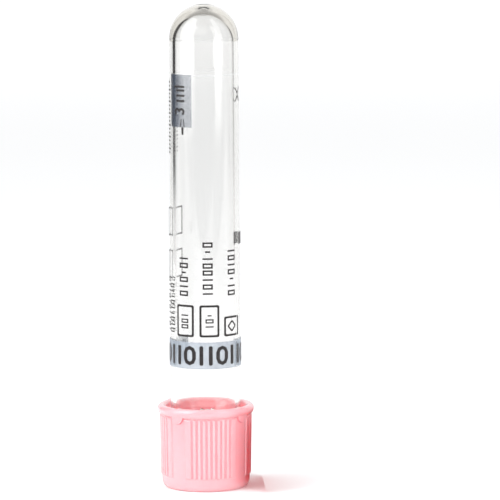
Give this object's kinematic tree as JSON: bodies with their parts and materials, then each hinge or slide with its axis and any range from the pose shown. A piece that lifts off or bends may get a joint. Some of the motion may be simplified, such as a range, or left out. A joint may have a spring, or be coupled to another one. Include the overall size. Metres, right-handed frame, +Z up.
{
  "type": "blood collection tube",
  "caption": "Clear round-bottomed sample tube with a wrapped film label, standing upside down in its ribbed pink cap with a rubber stopper and a black needle ring.",
  "frame": {"origin": "centre of the cap's closed face, on the surface that the tube stands on upside down", "axes": "+Z up along the tube's axis, from the cap's closed face to the tube's round end; -Y towards the viewer's side of the label"},
  "size_m": [0.0168, 0.0168, 0.0846],
  "materials": {
    "clear_tube": "clear moulded PET, polished inside and out",
    "label_film": "clear self-adhesive film",
    "band_ink": "translucent grey-blue print",
    "panel_ink": "translucent grey-blue print",
    "dark_ink": "black-brown print",
    "pink_plastic": "satin moulded plastic, slightly waxy",
    "black_plastic": "fine matt moulded plastic",
    "stopper_rubber": "smooth dark blue-grey rubber",
    "additive": "dry pale grains"
  },
  "bodies": {
    "cap": {"cap": "pink_plastic", "cap_ring": "black_plastic"},
    "stopper": {"stopper": "stopper_rubber", "additive_granules": "additive"},
    "tube": {"tube": "clear_tube", "label": "label_film", "label_band": "band_ink", "volume_panel": "panel_ink", "label_print": "dark_ink"}
  },
  "joints": [
    {"name": "cap_turn", "type": "hinge", "parent": "cap", "child": "stopper", "pos_m": [0, 0, 0], "axis": [0, 0, 1], "continuous": true},
    {"name": "tube_pull", "type": "slide", "parent": "stopper", "child": "tube", "axis": [0, 0, 1], "range_m": [0, 0.02]}
  ]
}
